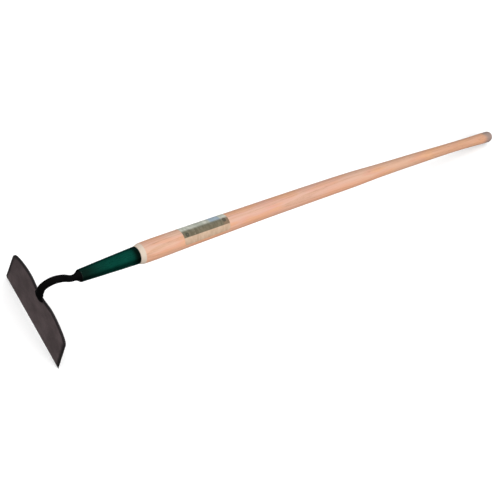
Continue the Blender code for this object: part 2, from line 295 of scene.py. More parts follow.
def add_attribute(obj, name, values):
    """A vector for each vertex, which the material reads by name."""
    attribute = obj.data.attributes.new(name, "FLOAT_VECTOR", "POINT")
    attribute.data.foreach_set("vector", np.asarray(values, np.float32).ravel())


def relief(point, frequency, seed):
    """Smooth unevenness from 0 to 1."""
    place = Vector(point) * frequency + Vector((seed, seed * 0.7, seed * 1.3))
    return 0.5 + 0.5 * max(-1.0, min(1.0, noise.noise(place)))


# Blade

def on_blade(across, height, depth):
    """A point in the blade's frame: depth 0 is the outer face, and it grows towards the handle."""
    return BLADE_EDGE_CENTRE + Y_AXIS * across + BLADE_UP * height + BLADE_INWARD * depth


def end_curve():
    """The blade's +Y end above the ground strip, to the middle of its shoulder's round."""
    half_width = BLADE_WIDTH / 2
    across = mix(half_width, END_TOP[0], GROUND_HEIGHT / END_TOP[1])
    return [(across, GROUND_HEIGHT), END_TOP] + shoulder_curve()[:10]


def shoulder_curve():
    return bezier(END_TOP, (0.0888, 0.090), (0.0865, 0.0928), SHOULDER, 20)


def half_top_curve():
    """From the middle of the +Y shoulder's round over the hump to the dip in the middle."""
    points = shoulder_curve()[9:]
    points += bezier(SHOULDER, (0.076, 0.102), (0.055, HUMP[1]), HUMP, 40)
    points += bezier(HUMP, (0.024, HUMP[1]), (0.016, TOP_CENTRE_HEIGHT), (0.0, TOP_CENTRE_HEIGHT), 30)
    return points


def cutting_edge():
    """Slightly hollow, and nicked by use, from -Y to +Y."""
    rng = random.Random(11)
    half_width = BLADE_WIDTH / 2
    nicks = [(rng.uniform(-0.9, 0.9) * half_width, rng.uniform(0.0006, 0.0016), rng.uniform(0.5, 1.0))
             for _ in range(16)]
    points = []
    for i in range(BLADE_COLUMNS + 1):
        u = mix(-1.0, 1.0, i / BLADE_COLUMNS)
        across = half_width * u
        height = EDGE_HOLLOW * (1 - u * u)
        worn = sum(size * math.exp(-((across - place) / width) ** 2) for place, width, size in nicks)
        points.append((across, height + NICK_DEPTH * worn))
    return np.array(points)


def mirrored(points):
    return [(-across, height) for across, height in reversed(points)]


def coons(bottom, top, left, right):
    """A grid of rows from bottom to top, blended from four sides."""
    columns, rows = len(bottom) - 1, len(left) - 1
    u = np.linspace(0, 1, columns + 1)[None, :, None]
    v = np.linspace(0, 1, rows + 1)[:, None, None]
    ruled_v = (1 - v) * bottom[None] + v * top[None]
    ruled_u = (1 - u) * left[:, None] + u * right[:, None]
    low = (1 - u) * bottom[0] + u * bottom[-1]
    high = (1 - u) * top[0] + u * top[-1]
    return ruled_v + ruled_u - ((1 - v) * low + v * high)


def blade_sides():
    """The outline's cutting edge, +Y end, top and -Y end as points, each from -Y to +Y or upwards."""
    half_width = BLADE_WIDTH / 2
    end = end_curve()
    strip = evenly([(half_width, 0.0), end[0]], STRIP_ROWS)
    right = np.concatenate([strip, evenly(end, FACE_ROWS)[1:]])
    half_top = half_top_curve()
    top = evenly([(-across, height) for across, height in half_top] + half_top[-2::-1], BLADE_COLUMNS)
    left = right * np.array([-1.0, 1.0])
    return cutting_edge(), right, top, left


def inward_normals(loop):
    """Unit normals of a counter-clockwise outline, pointing in, mitred at its corners."""
    ahead = np.roll(loop, -1, axis=0) - loop
    ahead /= np.linalg.norm(ahead, axis=1)[:, None]
    normal = np.stack([-ahead[:, 1], ahead[:, 0]], axis=1)
    both = normal + np.roll(normal, 1, axis=0)
    return 2 * both / np.sum(both * both, axis=1)[:, None]


def front_depth(height):
    """How deep the outer face lies, which the grind takes back towards the cutting edge."""
    return np.maximum(0.0, (GROUND_HEIGHT - height) / GROUND_HEIGHT) * (BLADE_THICKNESS - EDGE_THICKNESS)


def plate_warp(across, height):
    """Slight unevenness of the whole plate, none at its corners."""
    fade = smoothstep(0.0, 0.02, height)
    return BLADE_WARP * fade * (relief((across, height, 0.0), 26.0, 3.0) - 0.5)


def blade_loop(bottom, right, top, left):
    return np.concatenate([bottom[:-1], right[:-1], top[::-1][:-1], left[::-1][:-1]])


def split_loop(loop):
    """The loop's four sides again, as blade_sides gives them."""
    columns, rows = BLADE_COLUMNS, STRIP_ROWS + FACE_ROWS
    closed = np.concatenate([loop, loop[:1]])
    bottom = closed[:columns + 1]
    right = closed[columns:columns + rows + 1]
    top = closed[columns + rows:2 * columns + rows + 1][::-1]
    left = closed[2 * columns + rows:][::-1]
    return bottom, right, top, left


def build_blade():
    outline = blade_loop(*blade_sides())
    inward = inward_normals(outline)
    room = BLADE_THICKNESS - front_depth(outline[:, 1])
    bevel = np.minimum(BLADE_BEVEL, 0.35 * room)[:, None]
    bottom, right, top, left = split_loop(outline + inward * bevel)
    ground = np.linspace(left[STRIP_ROWS], right[STRIP_ROWS], BLADE_COLUMNS + 1)
    strip = coons(bottom, ground, left[:STRIP_ROWS + 1], right[:STRIP_ROWS + 1])
    face = coons(ground, top, left[STRIP_ROWS:], right[STRIP_ROWS:])
    grid = np.concatenate([strip, face[1:]])
    bm = bmesh.new()

    def vertex(across, height, depth):
        return bm.verts.new(on_blade(across, height, depth + plate_warp(across, height)))

    def border(rows):
        right_side = [row[-1] for row in rows[:-1]]
        left_side = [row[0] for row in rows[:0:-1]]
        return rows[0][:-1] + right_side + rows[-1][:0:-1] + left_side

    front = [[vertex(a, h, float(front_depth(h))) for a, h in row] for row in grid]
    back = [[vertex(a, h, BLADE_THICKNESS) for a, h in row] for row in grid]
    for rows in (front, back):
        for low, high in zip(rows, rows[1:]):
            for i in range(BLADE_COLUMNS):
                bm.faces.new((low[i], low[i + 1], high[i + 1], high[i]))
    loops = [border(front)]
    arc = [math.pi / 2 * k / 3 for k in (1, 2, 3)]
    for from_front, angles in ((True, arc), (False, arc[::-1])):
        for angle in angles:
            places = outline + inward * bevel * (1 - math.sin(angle))
            rise = bevel[:, 0] * (1 - math.cos(angle))
            depth = front_depth(places[:, 1]) + rise if from_front else BLADE_THICKNESS - rise
            loops.append([vertex(a, h, d) for (a, h), d in zip(places, depth)])
    loops.append(border(back))
    for first, second in zip(loops, loops[1:]):
        for i in range(len(first)):
            j = (i + 1) % len(first)
            bm.faces.new((first[i], first[j], second[j], second[i]))
    bmesh.ops.recalc_face_normals(bm, faces=bm.faces)
    blade = make_object("blade_plate", bm)
    add_attribute(blade, "margin", blade_margins(blade))
    return blade


def blade_margins(blade):
    """For each vertex its distance from the top edge and ends, from the cutting edge, and its depth."""
    offset = coordinates(blade) - np.array(BLADE_EDGE_CENTRE)
    across = offset[:, 1]
    height = offset @ np.array(BLADE_UP)
    depth = offset @ np.array(BLADE_INWARD)
    _, right, top, left = blade_sides()
    upper = np.concatenate([left, top[1:], right[::-1][1:]])
    here = np.stack([across, height], axis=1)
    nearest = np.full(len(here), 1.0)
    for start, end in zip(upper, upper[1:]):
        along = end - start
        share = np.clip((here - start) @ along / (along @ along), 0, 1)
        gap = np.linalg.norm(here - start - share[:, None] * along, axis=1)
        nearest = np.minimum(nearest, gap)
    from_edge = height - EDGE_HOLLOW * (1 - (across / (BLADE_WIDTH / 2)) ** 2)
    return np.stack([nearest, from_edge, depth], axis=1)


# Shank

def foot_rings(sides):
    """The foot that straddles the blade, from its tip up to where the round neck starts."""
    last_square = FOOT_STATIONS[-2][0]
    first, last = FOOT_STATIONS[0][0], FOOT_STATIONS[-1][0]
    steps = 40
    rings = []
    for i in range(steps + 1):
        height = mix(first, last, i / steps)
        depth, half_width, half_thickness = (smooth_through(FOOT_STATIONS, height, k) for k in (1, 2, 3))
        square = mix(2.3, 2.0, smoothstep(last_square, last, height))
        centre = on_blade(0.0, height, depth)
        rings.append(ring(centre, Y_AXIS, -BLADE_INWARD, half_width, half_thickness, sides, square))
    return rings


def neck_path():
    """(x, z) along the gooseneck, from above the foot over the crook and down to the cone."""
    foot_top = on_blade(0.0, FOOT_STATIONS[-1][0], FOOT_STATIONS[-1][1])
    start = (foot_top.x, foot_top.z)
    back = (-0.0690, 0.0025)
    crook = (-0.0513, 0.0184)
    low = (-CONE_LENGTH - 0.0005, 0.0008)
    path = [start]
    path += bezier(start, (-0.0685, -0.0060), (-0.0690, -0.0020), back, 24)
    path += bezier(back, (-0.0690, 0.0110), (-0.0603, crook[1]), crook, 40)
    path += bezier(crook, (-0.0300, crook[1]), (-0.0225, low[1]), low, 60)
    return evenly(path, 110)


def neck_rings(sides):
    """Round rings square to the path, thickest over the crook."""
    path = [Vector((x, 0.0, z)) for x, z in neck_path()]
    last = len(path) - 1
    foot_radius, crook_radius, cone_end_radius = NECK_RADII
    radii = ((0, foot_radius), (last / 2, crook_radius), (last, cone_end_radius))
    rings = []
    for i in range(1, last + 1):
        ahead = X_AXIS if i == last else (path[i + 1] - path[i - 1]).normalized()
        radius = smooth_through(radii, i)
        rings.append(ring(path[i], Y_AXIS, ahead.cross(Y_AXIS), radius, radius, sides))
    return rings


def cone_rings(sides):
    """The forged cone, rounded over where it meets the ferrule."""
    stations = (
        (-CONE_LENGTH - 0.0005, NECK_RADII[2], 0.0008),
        (CONE_LENGTH * -0.75, 0.0063, 0.0006),
        (CONE_LENGTH * -0.50, 0.0074, 0.0004),
        (CONE_LENGTH * -0.25, 0.0090, 0.0002),
        (CONE_LENGTH * -0.08, CONE_RADIUS - 0.0006, 0.0),
        (-0.0004, CONE_RADIUS - 0.0001, 0.0),
    )
    steps = 22
    rings = []
    for i in range(1, steps + 1):
        x = mix(stations[0][0], stations[-1][0], i / steps)
        rings.append(x_ring(x, smooth_through(stations, x, 1), sides, smooth_through(stations, x, 2)))
    return rings


def tang_rings(clearance, first_x, last_x, sides):
    """The square tang's tapering rings, grown all round by the clearance."""
    steps = 6
    rings = []
    for i in range(steps + 1):
        x = mix(first_x, last_x, i / steps)
        along = (x - SPIGOT_LENGTH) / (TANG_END - SPIGOT_LENGTH)
        half = mix(*TANG_HALF, along) + clearance
        rings.append(ring(Vector((x, 0.0, 0.0)), Y_AXIS, Z_AXIS, half, half, sides, squareness=5.0))
    return rings


def forged(rings):
    """Pulls each point in a little, as the hammer and the die leave a forging."""
    result = []
    for points in rings:
        centre = sum(points, Vector()) / len(points)
        moved = []
        for point in points:
            coarse = relief(point, 130.0, 5.0)
            fine = relief(point, 420.0, 9.0)
            inward = (centre - point).normalized()
            moved.append(point + inward * FORGING_DEPTH * (0.7 * coarse + 0.3 * fine))
        result.append(moved)
    return result


def slot_cutter():
    """The blade's place in the foot: its top edge and thickness, a little clear."""
    reach, bottom = 0.019, 0.07
    top = [(a, h + SLOT_CLEARANCE) for a, h in half_top_curve() if a <= reach]
    outline = [(reach, bottom), (reach, top[0][1])] + top + mirrored(top[:-1])
    outline += [(-reach, top[0][1]), (-reach, bottom)]
    depths = (-SLOT_CLEARANCE, BLADE_THICKNESS + SLOT_CLEARANCE)
    return make_object("slot_cutter", skin([[on_blade(a, h, d) for a, h in outline] for d in depths]))


def cut_away(obj, cutter):
    """Applies the cut and removes the cutter."""
    modifier = obj.modifiers.new("cut", "BOOLEAN")
    modifier.operation = "DIFFERENCE"
    modifier.solver = "EXACT"
    modifier.object = cutter
    bpy.context.view_layer.update()
    graph = bpy.context.evaluated_depsgraph_get()
    uncut = obj.data
    obj.data = bpy.data.meshes.new_from_object(obj.evaluated_get(graph))
    obj.modifiers.clear()
    bpy.data.meshes.remove(uncut)
    bpy.data.objects.remove(cutter)


def build_shank():
    sides = 56
    rings = forged(foot_rings(sides) + neck_rings(sides)) + forged(cone_rings(sides))
    rings += [x_ring(-GAP, CONE_RADIUS - 0.0002, sides), x_ring(-GAP, SPIGOT_RADIUS, sides)]
    rings += [x_ring(SPIGOT_LENGTH - 0.001, SPIGOT_RADIUS, sides)]
    rings += [x_ring(SPIGOT_LENGTH, SPIGOT_RADIUS - 0.001, sides)]
    rings += tang_rings(0.0, SPIGOT_LENGTH + 0.0001, TANG_END, sides)
    shank = make_object("neck_forging", skin(rings))
    cut_away(shank, slot_cutter())
    return shank


# Welds

def bead_path(end):
    """(across, height) of the bead: down the foot's side, under its tip and up again."""
    half = [end] + bezier(end, (0.0092, 0.0985), (0.0056, BEAD_TIP[1]), BEAD_TIP, 30)
    steps = 150
    return evenly([(-a, h) for a, h in half] + half[-2::-1], steps)


def build_bead(name, end, depth, outward, seed):
    """A rippled bead on one face of the blade, wider up the foot's sides and rounded off at its ends."""
    path = bead_path(end)
    total = len(path) - 1
    step = float(np.linalg.norm(path[1] - path[0]))
    arc_points = 14
    rings = []
    for i, (across, height) in enumerate(path):
        ahead = path[min(i + 1, total)] - path[max(i - 1, 0)]
        ahead /= np.linalg.norm(ahead)
        up_the_foot = smoothstep(BEAD_TIP[1], end[1], height)
        half_width = mix(*BEAD_HALF_WIDTHS, up_the_foot)
        short_of_round = max(0.0, 1 - min(i, total - i) * step / half_width)
        half_width *= math.sqrt(max(0.015, 1 - short_of_round ** 2))
        phase = (i * step / RIPPLE_PITCH + 0.3 * relief((i * step, 0, 0), 300.0, seed)) % 1.0
        swollen = 1.0 - 0.07 * phase ** 2 + 0.12 * (relief((across, height, 0), 260.0, seed) - 0.5)
        side = Y_AXIS * -ahead[1] + BLADE_UP * ahead[0]
        centre = on_blade(across, height, depth)
        points = []
        for k in range(arc_points + 1):
            angle = math.pi * k / arc_points
            rise = outward * (half_width * swollen * BEAD_RISE * math.sin(angle))
            points.append(centre + side * (half_width * swollen * math.cos(angle)) + rise)
        rings.append(points)
    return make_object(name, skin(rings))


# Ferrule and pin

def ferrule_radius(x):
    u = x / FERRULE_LENGTH
    return mix(*FERRULE_RADII, u) + FERRULE_SWELL * 4 * u * (1 - u)


def build_ferrule():
    """A drawn tube with a rounded narrow end and a rolled rim, slightly out of round."""
    sides = 112
    stations = [(0.0, ferrule_radius(0.0) - 0.0005), (0.0002, ferrule_radius(0.0) - 0.0002)]
    steps = 90
    rim_start = FERRULE_LENGTH - FERRULE_RIM
    for i in range(steps + 1):
        x = mix(0.0006, rim_start, i / steps)
        stations.append((x, ferrule_radius(x)))
    round_steps = 7
    for i in range(1, round_steps + 1):
        angle = math.pi / 2 * i / round_steps
        drop = FERRULE_RIM * (1 - math.cos(angle))
        stations.append((rim_start + FERRULE_RIM * math.sin(angle), ferrule_radius(rim_start) - drop))
    inner_steps = 10
    for i in range(inner_steps + 1):
        x = mix(FERRULE_LENGTH, 0.0, i / inner_steps)
        stations.append((x, ferrule_radius(x) - FERRULE_WALL))
    rings = []
    for x, radius in stations:
        points = []
        for point in x_ring(x, radius, sides):
            outward = Vector((0.0, point.y, point.z)).normalized()
            points.append(point - outward * FERRULE_UNEVENNESS * relief(point, 38.0, 17.0))
        rings.append(points)
    ferrule = make_object("ferrule_socket", skin(rings, closed=True))
    add_attribute(ferrule, "socket", coordinates(ferrule))
    return ferrule


def pin_ring(distance, radius):
    """A level ring under the ferrule's axis, at this distance from it."""
    return ring(Vector((PIN_X, 0.0, -distance)), X_AXIS, Y_AXIS, radius, radius, 40)


def build_pin():
    """A round-headed pin, driven in from below, with a slightly flattened crown."""
    seat = ferrule_radius(PIN_X) - 0.0001
    rings = [pin_ring(PIN_INNER_END, PIN_RADIUS * 0.3), pin_ring(PIN_INNER_END + 0.002, PIN_RADIUS)]
    rings += [pin_ring(seat, PIN_RADIUS), pin_ring(seat, PIN_HEAD_RADIUS * 0.97)]
    dome_steps = 12
    for i in range(dome_steps + 1):
        angle = math.radians(78) * i / dome_steps
        rise = PIN_HEAD_HEIGHT * math.sin(angle) ** 0.8
        rings.append(pin_ring(seat + 0.0002 + rise, PIN_HEAD_RADIUS * math.cos(angle)))
    return make_object("ferrule_rivet", skin(rings))


# Handle and label

def handle_frame(distance):
    """A point on the axis, which leaves the ferrule straight and curves down to the butt, and its normal."""
    u = distance / HANDLE_LENGTH
    slope = 8 * HANDLE_BOW * u / HANDLE_LENGTH
    centre = Vector((FERRULE_LENGTH + distance, 0.0, -4 * HANDLE_BOW * u * u))
    return centre, Vector((slope, 0.0, 1.0)).normalized()


def handle_radius(distance):
    """Straight on the shoulder's chamfer, a short round, then the pole's own curve."""
    chamfer_end, swell_radius = HANDLE_RADII[0]
    if distance <= chamfer_end:
        return mix(SHOULDER_RADIUS, swell_radius, distance / chamfer_end)
    return smooth_through(HANDLE_RADII, distance)


def pole_ring(distance, radius, sides):
    """A ring that sanding left very slightly uneven, always inside the turned size."""
    centre, up = handle_frame(distance)
    points = ring(centre, Y_AXIS, up, radius, radius, sides)
    uneven = []
    for point in points:
        share = POLE_UNEVENNESS * relief((point.x * 0.25, point.y, point.z), 45.0, 23.0)
        uneven.append(point + (centre - point) * share)
    return uneven


def build_handle():
    sides = 88
    rings = tang_rings(GAP, TANG_END + GAP, SPIGOT_LENGTH + GAP, sides)
    socket_steps = 8
    for i in range(socket_steps + 1):
        x = mix(SPIGOT_LENGTH + GAP, FERRULE_LENGTH + 0.0002, i / socket_steps)
        rings.append(x_ring(x, ferrule_radius(min(x, FERRULE_LENGTH)) - FERRULE_WALL - 0.0002, sides))
    last = HANDLE_LENGTH - BUTT_ROUNDING - BUTT_CLEARANCE
    close_step, wide_step = 0.0012, 0.0035
    distance = GAP
    while distance < last:
        rings.append(pole_ring(distance, handle_radius(distance), sides))
        distance += close_step if distance < 0.02 else wide_step
    butt_radius = handle_radius(last) - BUTT_CLEARANCE / 2
    round_steps = 14
    for i in range(round_steps + 1):
        angle = math.pi / 2 * i / round_steps
        drop = BUTT_ROUNDING * (1 - math.cos(angle))
        rings.append(pole_ring(last + BUTT_ROUNDING * math.sin(angle), butt_radius - drop, sides))
    handle = make_object("ash_pole", skin(rings))
    add_attribute(handle, "grain", grain_places(handle))
    return handle


def grain_places(obj):
    """Each vertex's distance from the ferrule's wide end, and its place across the bowed pole."""
    place = coordinates(obj) - np.array([FERRULE_LENGTH, 0.0, 0.0])
    share = np.clip(place[:, 0], 0.0, None) / HANDLE_LENGTH
    place[:, 2] += 4 * HANDLE_BOW * share ** 2
    return place


def build_label():
    """A thin sticker with round corners that hugs the pole."""
    along_steps, round_steps = 84, 60
    first, last = LABEL_ANGLES
    rings, places = [], []
    for i in range(along_steps + 1):
        along = LABEL_LENGTH * i / along_steps
        distance = LABEL_START - FERRULE_LENGTH + along
        centre, up = handle_frame(distance)
        radius = handle_radius(distance)
        to_end = min(along, LABEL_LENGTH - along)
        cut = LABEL_CORNER - min(LABEL_CORNER, to_end)
        trim = (LABEL_CORNER - math.sqrt(LABEL_CORNER ** 2 - cut ** 2)) / radius
        angles = [mix(first + trim, last - trim, k / round_steps) for k in range(round_steps + 1)]
        around = [(radius + LABEL_THICKNESS, angle) for angle in angles]
        around += [(radius - 0.00012, angle) for angle in reversed(angles)]
        rings.append([centre + Y_AXIS * r * math.cos(a) + up * r * math.sin(a) for r, a in around])
        places += [(along, (a - first) * radius, r - radius) for r, a in around]
    label = make_object("pole_label", skin(rings))
    add_attribute(label, "place", places)
    return label


# Materials

class Shader:
    """One node material: adds nodes by type and feeds their inputs with values or other nodes' outputs."""

    def __init__(self, name, roughness=0.5, metallic=0.0, specular=0.5):
        self.material = bpy.data.materials.new(name)
        self.material.use_nodes = True
        self.tree = self.material.node_tree
        self.surface = self.tree.nodes["Principled BSDF"]
        self.surface.inputs["Roughness"].default_value = roughness
        self.surface.inputs["Metallic"].default_value = metallic
        self.surface.inputs["Specular IOR Level"].default_value = specular
        self.place = self.add("TexCoord").outputs["Object"]

    def add(self, kind, inputs=None, **settings):
        node = self.tree.nodes.new("ShaderNode" + kind)
        for key, value in settings.items():
            setattr(node, key, value)
        for key, value in (inputs or {}).items():
            self.feed(node.inputs[key], value)
        return node

    def feed(self, socket, value):
        if isinstance(value, bpy.types.NodeSocket):
            self.tree.links.new(value, socket)
        else:
            socket.default_value = value

    def attribute(self, name):
        """The named vector's three parts."""
        found = self.add("Attribute", attribute_name=name).outputs["Vector"]
        return found, self.parts(found)

    def parts(self, vector):
        return self.add("SeparateXYZ", {0: vector}).outputs

    def stretched(self, vector, scale):
        return self.add("VectorMath", {0: vector, 1: scale}, operation="MULTIPLY").outputs[0]

    def noise(self, vector, scale, detail=3.0, roughness=0.55, distortion=0.0):
        inputs = {"Vector": vector, "Scale": scale, "Detail": detail, "Roughness": roughness,
                  "Distortion": distortion}
        return self.add("TexNoise", inputs).outputs[0]

    def math(self, operation, a, b=0.0):
        return self.add("Math", {0: a, 1: b}, operation=operation).outputs[0]

    def ramp(self, value, low, high, start=0.0, end=1.0):
        """The value eased from start at low to end at high."""
        inputs = {"Value": value, "From Min": low, "From Max": high, "To Min": start, "To Max": end}
        return self.add("MapRange", inputs, interpolation_type="SMOOTHSTEP").outputs[0]

    def blend(self, amount, a, b):
        """Colour a to colour b."""
        colours = [(*c, 1.0) if isinstance(c, tuple) else c for c in (a, b)]
        inputs = {0: amount, 6: colours[0], 7: colours[1]}
        return self.add("Mix", inputs, data_type="RGBA").outputs[2]

    def bump(self, height, distance, normal=None):
        inputs = {"Height": height, "Distance": distance, "Strength": 1.0}
        if normal is not None:
            inputs["Normal"] = normal
        return self.add("Bump", inputs).outputs[0]

    def finish(self, colour, roughness=None, normal=None, metallic=None):
        self.feed(self.surface.inputs["Base Color"], colour)
        if roughness is not None:
            self.feed(self.surface.inputs["Roughness"], roughness)
        if normal is not None:
            self.feed(self.surface.inputs["Normal"], normal)
        if metallic is not None:
            self.feed(self.surface.inputs["Metallic"], metallic)
        return self.material


def blade_steel():
    """Matt, mottled lacquer over rolled steel, with painted shade darkening it round its rim and over the
    ground bevel, and rubbed off along the cutting edge.
    """
    s = Shader("blade_steel", specular=0.16)
    _, (to_rim, to_edge, _) = s.attribute("margin")
    cloud = s.noise(s.place, 24.0, 4.0, 0.6)
    mottle = s.noise(s.place, 130.0, 5.0, 0.65)
    speck = s.noise(s.place, 1500.0, 3.0, 0.6)
    across = s.stretched(s.place, (900.0, 900.0, 28.0))
    streak = s.noise(across, 1.0, 4.0, 0.6)
    lacquer = s.blend(s.ramp(cloud, 0.32, 0.68), (0.103, 0.077, 0.079), (0.172, 0.130, 0.133))
    lacquer = s.blend(s.ramp(mottle, 0.42, 0.72, 0.0, 0.45), lacquer, (0.160, 0.132, 0.130))
    lacquer = s.blend(s.ramp(speck, 0.50, 0.72, 0.0, 0.35), lacquer, (0.026, 0.020, 0.021))
    lacquer = s.blend(s.ramp(streak, 0.58, 0.80, 0.0, 0.30), lacquer, (0.180, 0.152, 0.150))
    # Painted shade: the lacquer darkens to near black along the top edge and ends, fading out about 8 mm in.
    ragged = s.math("ADD", to_rim, s.ramp(mottle, 0.3, 0.7, -0.0014, 0.0014))
    lacquer = s.blend(s.ramp(ragged, 0.0016, 0.0085, 0.92, 0.0), lacquer, (0.009, 0.007, 0.008))
    # Painted shade: the lacquer darkens over the ground bevel above the cutting edge.
    ground = s.ramp(to_edge, 0.0024, 0.0092, 0.86, 0.0)
    lacquer = s.blend(ground, lacquer, (0.026, 0.019, 0.022))
    chipped = s.math("ADD", to_edge, s.ramp(mottle, 0.35, 0.65, -0.0010, 0.0008))
    bare = s.ramp(chipped, 0.0001, 0.0005, 0.45, 0.0)
    colour = s.blend(bare, lacquer, (0.17, 0.165, 0.16))
    roughness = s.ramp(mottle, 0.3, 0.75, 0.46, 0.68)
    normal = s.bump(speck, 0.00006)
    normal = s.bump(mottle, 0.00022, normal)
    normal = s.bump(streak, 0.00003, normal)
    return s.finish(colour, roughness, normal, metallic=s.math("MULTIPLY", bare, 0.9))


def forged_black():
    """Black lacquer over forge scale, with a few dull brown spots."""
    s = Shader("forged_black", specular=0.04)
    scale = s.noise(s.place, 330.0, 5.0, 0.62)
    grit = s.noise(s.place, 1700.0, 3.0, 0.6)
    patch = s.noise(s.place, 75.0, 3.0, 0.5)
    colour = s.blend(s.ramp(patch, 0.35, 0.65), (0.0008, 0.0008, 0.0009), (0.0020, 0.0019, 0.0020))
    colour = s.blend(s.ramp(scale, 0.62, 0.78, 0.0, 0.45), colour, (0.010, 0.0085, 0.008))
    colour = s.blend(s.ramp(grit, 0.68, 0.80, 0.0, 0.4), colour, (0.020, 0.013, 0.009))
    roughness = s.ramp(scale, 0.3, 0.7, 0.55, 0.78)
    normal = s.bump(grit, 0.00008)
    normal = s.bump(scale, 0.00045, normal)
    return s.finish(colour, roughness, normal)


def weld_steel():
    """Lacquered weld metal with flecks of slag and a trace of heat colour."""
    s = Shader("weld_steel", metallic=0.1, specular=0.05)
    slag = s.noise(s.place, 900.0, 4.0, 0.6)
    tint = s.noise(s.place, 160.0, 3.0, 0.5)
    colour = s.blend(s.ramp(tint, 0.40, 0.66), (0.0016, 0.0015, 0.0017), (0.0055, 0.0045, 0.0040))
    colour = s.blend(s.ramp(slag, 0.60, 0.75, 0.0, 0.4), colour, (0.022, 0.019, 0.017))
    roughness = s.ramp(slag, 0.3, 0.7, 0.34, 0.60)
    return s.finish(colour, roughness, s.bump(slag, 0.00012))


def ferrule_green():
    """Metallic green paint with a faint orange peel, with painted shade towards its narrow end, near black at
    its wide end, and scuffed on its rim.
    """
    s = Shader("ferrule_green", metallic=0.85, specular=0.25)
    s.surface.inputs["Specular Tint"].default_value = (0.12, 1.0, 0.92, 1.0)
    _, (along, _, _) = s.attribute("socket")
    cloud = s.noise(s.place, 40.0, 3.0, 0.5)
    peel = s.noise(s.place, 620.0, 2.0, 0.45)
    scuff = s.noise(s.stretched(s.place, (90.0, 900.0, 900.0)), 1.0, 5.0, 0.65)
    colour = s.blend(s.ramp(cloud, 0.32, 0.68), (0.0020, 0.046, 0.0310), (0.0032, 0.062, 0.0430))
    colour = s.blend(s.ramp(peel, 0.55, 0.75, 0.0, 0.25), colour, (0.0050, 0.075, 0.0480))
    ragged = s.math("ADD", along, s.ramp(cloud, 0.3, 0.7, -0.0016, 0.0016))
    # Painted shade: the green darkens towards the narrow end, fading out about 62 mm along.
    colour = s.blend(s.ramp(ragged, 0.002, 0.062, 0.88, 0.0), colour, (0.0040, 0.0085, 0.0060))
    colour = s.blend(s.ramp(ragged, 0.0945, 0.1070, 0.0, 0.97), colour, (0.0015, 0.0028, 0.0014))
    worn_ends = s.math("ADD", s.ramp(along, 0.1102, 0.1124), s.ramp(along, 0.0, 0.0014, 1.0, 0.0))
    worn = s.math("MULTIPLY", worn_ends, s.ramp(scuff, 0.50, 0.62))
    scratched = s.ramp(scuff, 0.73, 0.78, 0.0, 0.22)
    colour = s.blend(scratched, colour, (0.012, 0.090, 0.060))
    colour = s.blend(worn, colour, (0.085, 0.083, 0.080))
    roughness = s.ramp(scuff, 0.35, 0.75, 0.26, 0.42)
    normal = s.bump(peel, 0.00005)
    normal = s.bump(scuff, 0.000010, normal)
    return s.finish(colour, roughness, normal)


def pin_steel():
    """Dull zinc with fine turning marks and a little grime."""
    s = Shader("pin_steel", metallic=1.0)
    grime = s.noise(s.place, 700.0, 4.0, 0.6)
    marks = s.noise(s.stretched(s.place, (3000.0, 3000.0, 500.0)), 1.0, 3.0, 0.6)
    colour = s.blend(s.ramp(grime, 0.38, 0.70), (0.17, 0.165, 0.16), (0.36, 0.36, 0.37))
    roughness = s.ramp(grime, 0.3, 0.7, 0.50, 0.32)
    return s.finish(colour, roughness, s.bump(marks, 0.00003))


